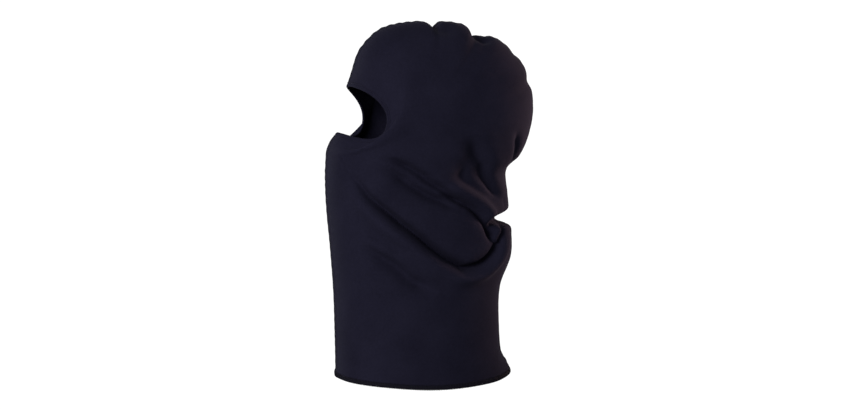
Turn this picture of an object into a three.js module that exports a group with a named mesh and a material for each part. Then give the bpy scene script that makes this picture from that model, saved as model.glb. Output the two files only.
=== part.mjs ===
import * as THREE from 'three';

// A knitted hood that covers the head and neck and leaves the eyes and nose bare, as it is worn.
// Millimetres. +Z is up, the face looks along -Y and the wearer's left is +X.
// The origin is the inside of the crown, where the hood sits on a head.

// Overall sizes over the outside of the cloth, and how far its seam draws the crown's middle down
const HOOD_DROP = 404;
const HOOD_DEPTH = 234;
const HOOD_WIDTH = 160;
const WALL = 2;
const CROWN_SINK = 2.4;

// Face opening: its finished height and width, how far its lower edge lies below the crown,
// and how far its corners lie behind its middle
const FACE_HEIGHT = 53;
const FACE_WIDTH = 116;
const FACE_DROP = 125.5;
const FACE_SWEEP = 35;

// Edges and seams
const GAP = 0.3;
const BINDING_WIDTH = 3;
const HEM_HEIGHT = 3.6;
const EDGE_PROUD = 0.6;
const SEAM_WIDTH = 5;
const SEAM_THICKNESS = 0.8;

// How the cloth lies: the deepest and broadest common fold, the tuck behind the neck,
// the gathers of the crown seam and the kick of the hem at the back
const FOLD_DEPTH = 10;
const FOLD_BREADTH = 6;
const PINCH_DEPTH = 21;
const GATHER_DEPTH = 10;
const GATHER_BREADTH = 7;
const FLARE_OUT = 9.5;
const FLARE_HEIGHT = 30;
const FLARE_BREADTH = 30;
const HEM_LIFT = 4;

const COLUMNS = 22;
const COLUMN_CROWDING = 0.35;
const CROWDED_TURN = 0.55;
const EDGE_SIDES = 6;
const EVENING_REACH = 3 * WALL;

// The edges are sewn on outside the cloth, so the cloth stops short of the finished edges
const topZ = WALL + CROWN_SINK;
const hemEdge = HEM_HEIGHT + GAP;
const faceEdge = BINDING_WIDTH + GAP;
const faceLowZ = topZ - FACE_DROP - faceEdge;
const faceTopZ = topZ - FACE_DROP + FACE_HEIGHT + faceEdge;
const frontHemZ = topZ - HOOD_DROP + hemEdge + HEM_LIFT;

// A table's rows as objects, under its columns' names
function table(names, ...rows) {
  return rows.map((row) => Object.fromEntries(names.map((name, i) => [name, row[i]])));
}

// Sections from the hem to the crown. Each is a loop from a point on the throat line to one on
// the back line, bowed backwards at its sides.
// rise: share of the throat line's height         front, back: shares of HOOD_DEPTH along Y
// drop: share of HOOD_DROP down to the back point  half: share of HOOD_WIDTH
// bow: share of HOOD_DEPTH                         low: how far the sides hang below the middle
// square: how far the loop fills its corners       rows: mesh rows up to the next section
const SECTIONS = table(
  ['rise', 'front', 'back', 'drop', 'half', 'bow', 'low', 'square', 'rows'],
  [0.000, -0.449, 0.372, 0.988, 0.480, 0.012, 0.00, 0.10, 3],
  [0.190, -0.450, 0.350, 0.870, 0.475, 0.000, 0.00, 0.10, 2],
  [0.370, -0.457, 0.354, 0.745, 0.470, 0.000, 0.00, 0.10, 5],
  [0.515, -0.472, 0.412, 0.652, 0.465, 0.000, 0.00, 0.10, 6],
  [0.640, -0.487, 0.402, 0.548, 0.460, 0.000, 0.00, 0.10, 5],
  [0.720, -0.493, 0.392, 0.478, 0.460, 0.000, 0.00, 0.10, 3],
  [0.770, -0.495, 0.386, 0.421, 0.470, 0.000, 0.00, 0.10, 2],
  [0.810, -0.496, 0.455, 0.376, 0.480, 0.010, 0.00, 0.10, 2],
  [0.840, -0.496, 0.500, 0.318, 0.490, 0.020, 0.01, 0.10, 2],
  [0.865, -0.494, 0.519, 0.240, 0.500, 0.030, 0.02, 0.10, 2],
  [0.885, -0.492, 0.490, 0.145, 0.500, 0.050, 0.04, 0.11, 3],
  [0.905, -0.490, 0.378, 0.066, 0.495, 0.075, 0.07, 0.12, 4],
  [0.925, -0.486, 0.200, 0.017, 0.485, 0.100, 0.13, 0.15, 6],
  [0.945, -0.480, 0.010, CROWN_SINK / HOOD_DROP, 0.470, 0.125, 0.17, 0.20, 3],
);

// Sections from the crown to the face opening, whose upper points run down the brow.
// forward, down: shares of the way from the crown to the brow edge
const BROW_BACK = -0.384;
const BROW_SECTIONS = table(
  ['rise', 'front', 'forward', 'down', 'half', 'bow', 'low', 'square', 'rows'],
  [0.962, -0.473, 0.54, 0.135, 0.455, 0.165, 0.185, 0.28, 2],
  [0.976, -0.465, 0.81, 0.440, 0.437, 0.175, 0.185, 0.36, 2],
  [0.989, -0.455, 0.94, 0.840, 0.412, 0.162, 0.16, 0.41, 1],
);
const FACE_SECTION = { front: -0.444, low: 0.15, square: 0.45 };

// Folds, each along a path of [turn, drop] points over the cloth. Turn is the share of the way
// round from throat to back, and drop is a share of HOOD_DROP.
// left, right: strength on each side              from, middle, to: depth as shares of FOLD_DEPTH
// breadth, lip: shares of FOLD_BREADTH and FOLD_DEPTH, with the lip on the path's left if positive
const FOLDS = [
  {
    left: 1, right: 0.6, from: 0.7, middle: 1.05, to: 0, breadth: 0.9, lip: -0.3,
    path: [[0.70, 0.600], [0.69, 0.63], [0.665, 0.655], [0.62, 0.673], [0.565, 0.67], [0.51, 0.645],
      [0.455, 0.608], [0.40, 0.567], [0.34, 0.52], [0.275, 0.473], [0.205, 0.42]],
  },
  {
    left: 1, right: 0.7, from: 0.9, middle: 0.65, to: 0, breadth: 0.9, lip: 0.25,
    path: [[0.695, 0.598], [0.665, 0.58], [0.632, 0.545], [0.595, 0.508], [0.56, 0.486], [0.515, 0.455],
      [0.45, 0.42], [0.385, 0.393]],
  },
  {
    left: 1, right: 0.8, from: 0.1, middle: 0.4, to: 0, breadth: 1, lip: 0,
    path: [[0.56, 0.50], [0.518, 0.492], [0.472, 0.477], [0.417, 0.448], [0.382, 0.423], [0.347, 0.393]],
  },
  {
    left: 1, right: 0.7, from: 0, middle: 0.26, to: 0, breadth: 1.1, lip: 0,
    path: [[0.21, 0.591], [0.273, 0.625], [0.335, 0.662], [0.38, 0.683], [0.426, 0.703], [0.487, 0.722],
      [0.525, 0.729]],
  },
  {
    left: 1, right: 0.8, from: 0, middle: 0.55, to: 0, breadth: 1.2, lip: 0,
    path: [[0.536, 0.272], [0.551, 0.304], [0.605, 0.368], [0.686, 0.414], [0.723, 0.454], [0.751, 0.484]],
  },
  {
    left: 1, right: 0.7, from: 0, middle: 0.35, to: 0, breadth: 1.1, lip: 0,
    path: [[0.534, 0.357], [0.582, 0.396], [0.663, 0.439], [0.713, 0.478], [0.80, 0.513]],
  },
  {
    left: 1, right: 0.5, from: 0, middle: 0.5, to: 0.2, breadth: 0.9, lip: 0.15,
    path: [[0.728, 0.30], [0.773, 0.347], [0.819, 0.384], [0.909, 0.412]],
  },
];

// The deep tuck behind the neck, which runs out into the two long folds on each side.
// from, middle, to: depth as shares of PINCH_DEPTH
const PINCH = {
  left: 1, right: 1, from: 1, middle: 0.8, to: 0.45, breadth: 1, lip: 0,
  path: [[1, 0.554], [0.9, 0.553], [0.8, 0.552], [0.745, 0.557], [0.70, 0.577], [0.692, 0.598]],
};

// Gathers that the crown seam draws in.
// along: share of the seam from the hem to the face opening   depth: share of GATHER_DEPTH
// reach: how far it runs out to each side, as a share of HOOD_WIDTH
const GATHERS = [
  { along: 0.570, depth: 0.20, breadth: 0.8, reach: 0.17 },
  { along: 0.620, depth: 0.25, breadth: 0.8, reach: 0.18 },
  { along: 0.683, depth: 0.60, breadth: 1.3, reach: 0.35 },
  { along: 0.703, depth: 1.05, breadth: 0.95, reach: 0.30 },
  { along: 0.778, depth: 0.90, breadth: 0.9, reach: 0.24 },
];
const LIP_OFFSET = 1.9;
const LIP_BREADTH = 1.2;
const PATH_STEPS = 4;

const KNIT = new THREE.MeshStandardMaterial({ color: 0x1d1b2a, roughness: 0.95, metalness: 0 });
const BINDING = new THREE.MeshStandardMaterial({ color: 0x15131d, roughness: 0.9, metalness: 0 });
const THREAD = new THREE.MeshStandardMaterial({ color: 0x100f16, roughness: 0.85, metalness: 0 });

const COLUMN_NAMES = ['frontY', 'frontZ', 'backY', 'backZ', 'half', 'bow', 'low', 'square'];
const KNOTS = sectionKnots();
const SEAM_LENGTH = KNOTS.at(-1).along;
const HALF_GIRTH = (Math.PI / 4) * (HOOD_DEPTH * 0.82 + HOOD_WIDTH * 0.92);

// Sections as lengths, with each one's distance along the back and crown line
function sectionKnots() {
  const throatZ = (rise) => frontHemZ + rise * (faceLowZ - frontHemZ);
  const knots = SECTIONS.map((section) => ({
    frontY: section.front * HOOD_DEPTH,
    frontZ: throatZ(section.rise),
    backY: section.back * HOOD_DEPTH,
    backZ: topZ - section.drop * HOOD_DROP,
    half: section.half * HOOD_WIDTH,
    bow: section.bow * HOOD_DEPTH,
    low: section.low,
    square: section.square,
    rows: section.rows,
  }));
  for (const section of BROW_SECTIONS) {
    knots.push({
      frontY: section.front * HOOD_DEPTH,
      frontZ: throatZ(section.rise),
      backY: section.forward * BROW_BACK * HOOD_DEPTH,
      backZ: topZ - section.down * (topZ - faceTopZ),
      half: section.half * HOOD_WIDTH,
      bow: section.bow * HOOD_DEPTH,
      low: section.low,
      square: section.square,
      rows: section.rows,
    });
  }
  knots.push({
    frontY: FACE_SECTION.front * HOOD_DEPTH,
    frontZ: faceLowZ,
    backY: BROW_BACK * HOOD_DEPTH,
    backZ: faceTopZ,
    half: FACE_WIDTH / 2 + faceEdge,
    bow: FACE_SWEEP,
    low: FACE_SECTION.low,
    square: FACE_SECTION.square,
    rows: 0,
  });
  knots.forEach((knot, i) => {
    const last = knots[Math.max(i - 1, 0)];
    const step = Math.hypot(knot.backY - last.backY, knot.backZ - last.backZ);
    knot.along = (last.along ?? 0) + step;
  });
  return knots;
}

// A smooth curve through values held at the given places
function smoothAt(place, places, values) {
  const last = places.length - 1;
  let i = 0;
  while (i < last - 1 && place > places[i + 1]) i += 1;
  const slope = (k) => {
    const a = Math.max(k - 1, 0);
    const b = Math.min(k + 1, last);
    return (values[b] - values[a]) / (places[b] - places[a]);
  };
  const span = places[i + 1] - places[i];
  const x = (place - places[i]) / span;
  const x2 = x * x;
  const x3 = x2 * x;
  return (2 * x3 - 3 * x2 + 1) * values[i] + (x3 - 2 * x2 + x) * span * slope(i)
    + (3 * x2 - 2 * x3) * values[i + 1] + (x3 - x2) * span * slope(i + 1);
}

const KNOT_PLACES = KNOTS.map((knot) => knot.along);
const KNOT_VALUES = Object.fromEntries(COLUMN_NAMES.map((name) => [name, KNOTS.map((knot) => knot[name])]));

// A point of the hood's plain form. along is a distance on the back line and turn goes from 0 at
// the throat to 1 at the back.
function plainPoint(along, turn, side) {
  const c = {};
  for (const name of COLUMN_NAMES) c[name] = smoothAt(along, KNOT_PLACES, KNOT_VALUES[name]);
  const halfY = (c.backY - c.frontY) / 2;
  const halfZ = (c.backZ - c.frontZ) / 2;
  const length = Math.hypot(halfY, halfZ);
  const cosine = Math.cos(turn * Math.PI);
  const sine = Math.sin(turn * Math.PI);
  const across = sine * sine;
  const share = -cosine * (1 + c.square * across) - c.low * across;
  return new THREE.Vector3(
    side * c.half * sine * (1 + c.square * 0.6 * cosine * cosine),
    (c.frontY + c.backY) / 2 + halfY * share + (halfZ / length) * c.bow * across,
    (c.frontZ + c.backZ) / 2 + halfZ * share - (halfY / length) * c.bow * across,
  );
}

function plainNormal(along, turn, side) {
  const reach = 0.5;
  const lower = plainPoint(Math.max(along - reach, 0), turn, side);
  const upper = plainPoint(Math.min(along + reach, SEAM_LENGTH), turn, side);
  const nearTurn = reach / HALF_GIRTH;
  const before = plainPoint(along, turn - nearTurn, side);
  const after = plainPoint(along, turn + nearTurn, side);
  return after.sub(before).cross(upper.sub(lower)).multiplyScalar(side).normalize();
}

// A fold's path as short straight steps over the unrolled cloth, in millimetres
function foldSteps(fold) {
  const places = fold.path.map((_, i) => i);
  const turns = fold.path.map(([turn]) => turn * HALF_GIRTH);
  const drops = fold.path.map(([, drop]) => drop * HOOD_DROP);
  const count = PATH_STEPS * (places.length - 1);
  return Array.from({ length: count + 1 }, (_, i) => {
    const place = i / PATH_STEPS;
    return [smoothAt(place, places, turns), smoothAt(place, places, drops)];
  });
}

const FOLD_STEPS = new Map([...FOLDS, PINCH].map((fold) => [fold, foldSteps(fold)]));

// Depth of one fold at a place on the unrolled cloth
function foldDepth(fold, round, down, fullDepth) {
  const steps = FOLD_STEPS.get(fold);
  let nearest = Infinity;
  let hand = 0;
  let share = 0;
  for (let i = 0; i + 1 < steps.length; i += 1) {
    const [startX, startY] = steps[i];
    const stepX = steps[i + 1][0] - startX;
    const stepY = steps[i + 1][1] - startY;
    const toX = round - startX;
    const toY = down - startY;
    const on = (toX * stepX + toY * stepY) / (stepX * stepX + stepY * stepY);
    const at = Math.min(Math.max(on, 0), 1);
    const distance = Math.hypot(toX - at * stepX, toY - at * stepY);
    if (distance < nearest) {
      nearest = distance;
      hand = Math.sign(stepX * toY - stepY * toX);
      share = (i + at) / (steps.length - 1);
    }
  }
  const end = share < 0.5 ? fold.from : fold.to;
  const depth = end + (fold.middle - end) * Math.sin(share * Math.PI);
  const breadth = fold.breadth * FOLD_BREADTH;
  const groove = depth * fullDepth * Math.exp(-((nearest / breadth) ** 2));
  const lipPlace = nearest * hand * Math.sign(fold.lip) - LIP_OFFSET * FOLD_BREADTH;
  const lipAway = lipPlace / (LIP_BREADTH * FOLD_BREADTH);
  const lip = depth * Math.abs(fold.lip) * fullDepth * Math.exp(-(lipAway ** 2));
  return groove - lip;
}

// How far the worn cloth lies outside its plain form
function drape(along, turn, z, side) {
  const strength = (fold) => (side > 0 ? fold.left : fold.right);
  const round = turn * HALF_GIRTH;
  const down = topZ - z;
  let out = -strength(PINCH) * foldDepth(PINCH, round, down, PINCH_DEPTH);
  for (const fold of FOLDS) out -= strength(fold) * foldDepth(fold, round, down, FOLD_DEPTH);
  const fromSeam = (1 - turn) * HALF_GIRTH;
  for (const gather of GATHERS) {
    const away = (along - gather.along * SEAM_LENGTH) / (gather.breadth * GATHER_BREADTH);
    const aside = fromSeam / (gather.reach * HOOD_WIDTH);
    out -= gather.depth * GATHER_DEPTH * Math.exp(-(away ** 2) - aside ** 2);
  }
  const aboveHem = z - (topZ - HOOD_DROP + hemEdge);
  const flare = THREE.MathUtils.smoothstep(FLARE_HEIGHT - aboveHem, 0, FLARE_HEIGHT);
  return out + FLARE_OUT * flare * Math.exp(-((fromSeam / FLARE_BREADTH) ** 2));
}

function wornPoint(along, turn, side) {
  const point = plainPoint(along, turn, side);
  const out = drape(along, turn, point.z, side);
  return point.addScaledVector(plainNormal(along, turn, side), out);
}

// Places of the mesh rows along the back line, and of its columns round the hood
function rowPlaces() {
  const places = [];
  for (let i = 0; i + 1 < KNOTS.length; i += 1) {
    const { along, rows } = KNOTS[i];
    for (let k = 0; k < rows; k += 1) places.push(along + (k / rows) * (KNOTS[i + 1].along - along));
  }
  places.push(SEAM_LENGTH);
  return places;
}

function columnPlaces() {
  const wave = (t) => Math.sin(2 * Math.PI * (t - CROWDED_TURN));
  const size = COLUMN_CROWDING / (2 * Math.PI);
  return Array.from({ length: COLUMNS + 1 }, (_, j) => j / COLUMNS - size * (wave(j / COLUMNS) - wave(0)));
}

// The outside and inside of one side's cloth, as rows of points from the hem to the face opening,
// each row running from the throat to the back
function clothSide(side) {
  const outside = rowPlaces().map((along) => columnPlaces().map((turn) => wornPoint(along, turn, side)));
  const mirrored = (point) => new THREE.Vector3(-point.x, point.y, point.z);
  const normals = outside.map((row, i) => row.map((_, j) => {
    const lower = outside[Math.max(i - 1, 0)][j];
    const upper = outside[Math.min(i + 1, outside.length - 1)][j];
    const before = j > 0 ? row[j - 1] : mirrored(row[1]);
    const after = j < COLUMNS ? row[j + 1] : mirrored(row[COLUMNS - 1]);
    const round = after.clone().sub(before);
    const up = upper.clone().sub(lower);
    return round.cross(up).multiplyScalar(side).normalize();
  }));
  const evened = outside.map((row, i) => row.map((point, j) => {
    const sum = new THREE.Vector3();
    outside.forEach((other, k) => {
      const weight = 1 - other[j].distanceTo(point) / EVENING_REACH;
      if (weight > 0) sum.addScaledVector(normals[k][j], weight);
    });
    return sum.normalize();
  }));
  const inward = (point, normal) => point.clone().addScaledVector(normal, -WALL);
  const inside = outside.map((row, i) => row.map((point, j) => inward(point, evened[i][j])));
  return { side, outside, inside, normals: evened };
}

// A closed mesh from points and triangles, turned so that its faces look outwards
function closedBody(points, triangles) {
  let volume = 0;
  for (const [a, b, c] of triangles) {
    volume += points[a].dot(points[b].clone().cross(points[c]));
  }
  const faces = volume < 0 ? triangles.map(([a, b, c]) => [a, c, b]) : triangles;
  const geometry = new THREE.BufferGeometry().setFromPoints(points);
  geometry.setIndex(faces.flat());
  geometry.computeVertexNormals();
  return geometry;
}

function quad(a, b, c, d) {
  return [[a, b, c], [a, c, d]];
}

// A quad split along its shorter diagonal, which lets the creases run across the mesh
function creasedQuad(points, a, b, c, d) {
  const straight = points[a].distanceTo(points[c]) <= points[b].distanceTo(points[d]);
  return straight ? quad(a, b, c, d) : quad(b, c, d, a);
}

// One side panel: its two faces, and the four cut edges between them, with the seam edges pulled
// back from the middle plane by half the gap
function panelGeometry({ side, outside, inside }) {
  const rows = outside.length;
  const columns = COLUMNS + 1;
  const edged = (row) => row.map((point, j) => {
    const seam = j === 0 || j === COLUMNS;
    return seam ? new THREE.Vector3(side * GAP / 2, point.y, point.z) : point;
  });
  const points = [...outside, ...inside].map(edged).flat();
  const outer = (i, j) => i * columns + j;
  const inner = (i, j) => (rows + i) * columns + j;
  const triangles = [];
  for (let i = 0; i + 1 < rows; i += 1) {
    for (let j = 0; j < COLUMNS; j += 1) {
      const across = [[i, j], [i, j + 1], [i + 1, j + 1], [i + 1, j]];
      const around = [[i, j], [i + 1, j], [i + 1, j + 1], [i, j + 1]];
      triangles.push(...creasedQuad(points, ...across.map((place) => outer(...place))));
      triangles.push(...creasedQuad(points, ...around.map((place) => inner(...place))));
    }
    triangles.push(...quad(outer(i, 0), outer(i + 1, 0), inner(i + 1, 0), inner(i, 0)));
    const last = COLUMNS;
    triangles.push(...quad(outer(i, last), inner(i, last), inner(i + 1, last), outer(i + 1, last)));
  }
  for (let j = 0; j < COLUMNS; j += 1) {
    const top = rows - 1;
    triangles.push(...quad(outer(0, j), inner(0, j), inner(0, j + 1), outer(0, j + 1)));
    triangles.push(...quad(outer(top, j), outer(top, j + 1), inner(top, j + 1), inner(top, j)));
  }
  return closedBody(points, triangles);
}

// A body through a run of equal polygons, either closed on itself or capped at its ends
function runGeometry(polygons, closed) {
  const sides = polygons[0].length;
  const count = polygons.length;
  const at = (i, k) => (i % count) * sides + (k % sides);
  const triangles = [];
  for (let i = 0; i < (closed ? count : count - 1); i += 1) {
    for (let k = 0; k < sides; k += 1) {
      triangles.push(...quad(at(i, k), at(i, k + 1), at(i + 1, k + 1), at(i + 1, k)));
    }
  }
  if (!closed) {
    for (let k = 1; k + 1 < sides; k += 1) {
      triangles.push([at(0, 0), at(0, k + 1), at(0, k)]);
      triangles.push([at(count - 1, 0), at(count - 1, k), at(count - 1, k + 1)]);
    }
  }
  return closedBody(polygons.flat(), triangles);
}

// A rounded edge all the way round an opening, a gap away from the cloth's cut edge.
// row and next are the cloth's edge row and the row beside it.
function edgeGeometry(cloths, row, next, width) {
  const thickness = WALL + 2 * EDGE_PROUD;
  const stations = [];
  for (const { outside, inside, normals, side } of cloths) {
    const places = outside[row].map((point, j) => ({
      middle: point.clone().add(inside[row][j]).multiplyScalar(0.5),
      outwards: normals[row][j],
      away: point.clone().sub(outside[next][j]),
    }));
    stations.push(...(side > 0 ? places.slice(0, -1) : places.slice(1).reverse()));
  }
  const polygons = stations.map(({ middle, outwards, away }, i) => {
    const before = stations[(i + stations.length - 1) % stations.length].middle;
    const after = stations[(i + 1) % stations.length].middle;
    const square = after.clone().sub(before).cross(outwards).normalize();
    if (square.dot(away) < 0) square.negate();
    const centre = middle.clone().addScaledVector(square, GAP + width / 2);
    return Array.from({ length: EDGE_SIDES }, (_, k) => {
      const angle = (k / EDGE_SIDES) * 2 * Math.PI;
      return centre.clone()
        .addScaledVector(square, (width / 2) * Math.cos(angle))
        .addScaledVector(outwards, (thickness / 2) * Math.sin(angle));
    });
  });
  return runGeometry(polygons, true);
}

// A flat seam over the joint of the two panels, along one column of their outside
function seamGeometry({ outside }, column) {
  const line = outside.map((row) => row[column]);
  const facing = (i) => {
    const step = line[i + 1].clone().sub(line[i]);
    return new THREE.Vector3(0, -step.z, step.y).normalize().multiplyScalar(column === 0 ? 1 : -1);
  };
  const polygons = line.map((point, i) => {
    const first = facing(Math.max(i - 1, 0));
    const second = facing(Math.min(i, line.length - 2));
    const out = first.clone().add(second).normalize();
    const mitre = 1 / out.dot(first);
    const low = point.clone().addScaledVector(out, GAP * mitre);
    const high = point.clone().addScaledVector(out, (GAP + SEAM_THICKNESS) * mitre);
    return [[low, -1], [low, 1], [high, 1], [high, -1]].map(([at, hand]) => (
      new THREE.Vector3(hand * SEAM_WIDTH / 2, at.y, at.z)
    ));
  });
  return runGeometry(polygons, false);
}

function piece(name, geometry, material) {
  const mesh = new THREE.Mesh(geometry, material);
  mesh.name = name;
  return mesh;
}

const left = clothSide(1);
const right = clothSide(-1);
const topRow = left.outside.length - 1;
const hood = new THREE.Group();
hood.name = 'knit_hood';
hood.add(
  piece('left_panel', panelGeometry(left), KNIT),
  piece('right_panel', panelGeometry(right), KNIT),
  piece('crown_seam', seamGeometry(left, COLUMNS), THREAD),
  piece('throat_seam', seamGeometry(left, 0), THREAD),
  piece('face_binding', edgeGeometry([left, right], topRow, topRow - 1, BINDING_WIDTH), BINDING),
  piece('hem_overlock', edgeGeometry([left, right], 0, 1, HEM_HEIGHT), THREAD),
);

export default hood;
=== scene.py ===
"""A knitted hood that covers the head and neck and leaves the eyes and nose bare, as it is worn.

Lengths of the hood are in millimetres until a mesh is made, and in metres after that.
+Z is up, the face looks along -Y and the wearer's left is +X.
"""

import math

import bpy
import numpy as np
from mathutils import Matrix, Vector


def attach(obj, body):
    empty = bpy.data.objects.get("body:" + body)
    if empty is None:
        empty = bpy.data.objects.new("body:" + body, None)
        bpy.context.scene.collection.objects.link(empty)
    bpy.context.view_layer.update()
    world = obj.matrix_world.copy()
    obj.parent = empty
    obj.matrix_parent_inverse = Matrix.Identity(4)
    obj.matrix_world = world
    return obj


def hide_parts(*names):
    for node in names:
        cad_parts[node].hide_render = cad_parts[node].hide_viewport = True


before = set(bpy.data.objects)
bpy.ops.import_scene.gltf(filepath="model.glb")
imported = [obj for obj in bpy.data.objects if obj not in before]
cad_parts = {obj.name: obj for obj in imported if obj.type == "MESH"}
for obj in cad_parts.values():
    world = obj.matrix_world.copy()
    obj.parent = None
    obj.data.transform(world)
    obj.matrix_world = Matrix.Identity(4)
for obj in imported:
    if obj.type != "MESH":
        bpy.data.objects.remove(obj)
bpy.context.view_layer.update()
MM = 0.001

# Overall sizes of the hood, its cloth and the dip of its crown seam
HOOD_DROP = 404
HOOD_DEPTH = 234
HOOD_WIDTH = 160
WALL = 2
CROWN_SINK = 2.4

# The face opening, its rolled edge and the overlocked hem
FACE_HEIGHT = 50
FACE_WIDTH = 116
FACE_DROP = 125.5
FACE_SWEEP = 44
BINDING_WIDTH = 3
HEM_HEIGHT = 3.6
HEM_LIFT = 4
GAP = 0.3

# Full depth and breadth of the folds, the tuck, the gathers and the kick of the hem at the back
FOLD_DEPTH = 10
FOLD_BREADTH = 6
PINCH_DEPTH = 21
GATHER_DEPTH = 10
GATHER_BREADTH = 7
FLARE_OUT = 9.5
FLARE_HEIGHT = 30
FLARE_BREADTH = 30

# Place and breadth of a fold's lip, and how much narrower its crisp crease is than the fold
LIP_OFFSET = 1.9
LIP_BREADTH = 1.2
CREASE_BREADTH = 0.45

TOP_Z = WALL + CROWN_SINK
HEM_EDGE = HEM_HEIGHT + GAP
FACE_EDGE = BINDING_WIDTH + GAP
FACE_LOW_Z = TOP_Z - FACE_DROP - FACE_EDGE
FACE_TOP_Z = TOP_Z - FACE_DROP + FACE_HEIGHT + FACE_EDGE
FRONT_HEM_Z = TOP_Z - HOOD_DROP + HEM_EDGE + HEM_LIFT

# Half the girth of the hood's neck and head on average, which turns are measured along
GIRTH_DEPTH = HOOD_DEPTH * 0.82
GIRTH_WIDTH = HOOD_WIDTH * 0.92
HALF_GIRTH = (math.pi / 4) * (GIRTH_DEPTH + GIRTH_WIDTH)

# Sections from the hem to the crown: rise of the front point on the throat line, front and back
# along Y, drop of the back point, half width, how far the middle bows out, how low it lies and
# how square the section is
SECTIONS = [
    (0.000, -0.449, 0.372, 0.988, 0.480, 0.012, 0.00, 0.10),
    (0.190, -0.450, 0.350, 0.870, 0.475, 0.000, 0.00, 0.10),
    (0.370, -0.457, 0.354, 0.745, 0.470, 0.000, 0.00, 0.10),
    (0.515, -0.472, 0.412, 0.652, 0.465, 0.000, 0.00, 0.10),
    (0.640, -0.487, 0.402, 0.548, 0.460, 0.000, 0.00, 0.10),
    (0.720, -0.493, 0.392, 0.478, 0.460, 0.000, 0.00, 0.10),
    (0.770, -0.495, 0.386, 0.421, 0.470, 0.000, 0.00, 0.10),
    (0.810, -0.496, 0.455, 0.376, 0.480, 0.010, 0.00, 0.10),
    (0.840, -0.496, 0.500, 0.318, 0.490, 0.020, 0.01, 0.10),
    (0.865, -0.494, 0.519, 0.240, 0.500, 0.030, 0.02, 0.10),
    (0.885, -0.492, 0.490, 0.145, 0.500, 0.050, 0.04, 0.11),
    (0.905, -0.490, 0.378, 0.066, 0.495, 0.075, 0.07, 0.12),
    (0.925, -0.486, 0.200, 0.017, 0.485, 0.100, 0.13, 0.15),
    (0.945, -0.480, 0.010, CROWN_SINK / HOOD_DROP, 0.470, 0.125, 0.17, 0.20),
]

# Sections from the crown down the brow: rise, front, shares forward and down to the brow edge,
# half width, bow, low and square
BROW_BACK = -0.384
BROW_SECTIONS = [
    (0.962, -0.473, 0.54, 0.129, 0.455, 0.178, 0.23, 0.28),
    (0.976, -0.465, 0.81, 0.422, 0.437, 0.200, 0.27, 0.36),
    (0.989, -0.455, 0.94, 0.805, 0.412, 0.198, 0.30, 0.41),
]
FACE_FRONT = -0.444
FACE_LOW = 0.32
FACE_SQUARE = 0.45
SQUARE_WIDENS = 0.6


def section_knots():
    """Each section as lengths, and its distance along the back and crown line."""
    throat = FACE_LOW_Z - FRONT_HEM_Z
    rows = []
    for rise, front, back, drop, half, bow, low, square in SECTIONS:
        start = (front * HOOD_DEPTH, FRONT_HEM_Z + rise * throat)
        end = (back * HOOD_DEPTH, TOP_Z - drop * HOOD_DROP)
        rows.append((*start, *end, half * HOOD_WIDTH, bow * HOOD_DEPTH, low, square))
    for rise, front, forward, down, half, bow, low, square in BROW_SECTIONS:
        start = (front * HOOD_DEPTH, FRONT_HEM_Z + rise * throat)
        end = (forward * BROW_BACK * HOOD_DEPTH, TOP_Z - down * (TOP_Z - FACE_TOP_Z))
        rows.append((*start, *end, half * HOOD_WIDTH, bow * HOOD_DEPTH, low, square))
    start = (FACE_FRONT * HOOD_DEPTH, FACE_LOW_Z)
    end = (BROW_BACK * HOOD_DEPTH, FACE_TOP_Z)
    rows.append((*start, *end, FACE_WIDTH / 2 + FACE_EDGE, FACE_SWEEP, FACE_LOW, FACE_SQUARE))
    values = np.array(rows)
    steps = np.hypot(np.diff(values[:, 2]), np.diff(values[:, 3]))
    return np.concatenate([[0], np.cumsum(steps)]), values


def smooth_at(place, places, values):
    """A smooth curve through rows of values held at the given places."""
    place = np.asarray(place, float)
    gaps = np.diff(places)
    slopes = np.empty_like(values)
    slopes[1:-1] = (values[2:] - values[:-2]) / (places[2:] - places[:-2])[:, None]
    slopes[0] = (values[1] - values[0]) / gaps[0]
    slopes[-1] = (values[-1] - values[-2]) / gaps[-1]
    i = np.clip(np.searchsorted(places, place, side="right") - 1, 0, len(places) - 2)
    span = gaps[i][..., None]
    x = ((place - places[i]) / gaps[i])[..., None]
    x2 = x * x
    x3 = x2 * x
    return (
        (2 * x3 - 3 * x2 + 1) * values[i]
        + (x3 - 2 * x2 + x) * span * slopes[i]
        + (3 * x2 - 2 * x3) * values[i + 1]
        + (x3 - x2) * span * slopes[i + 1]
    )


KNOT_PLACES, KNOT_VALUES = section_knots()
SEAM_LENGTH = float(KNOT_PLACES[-1])

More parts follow.
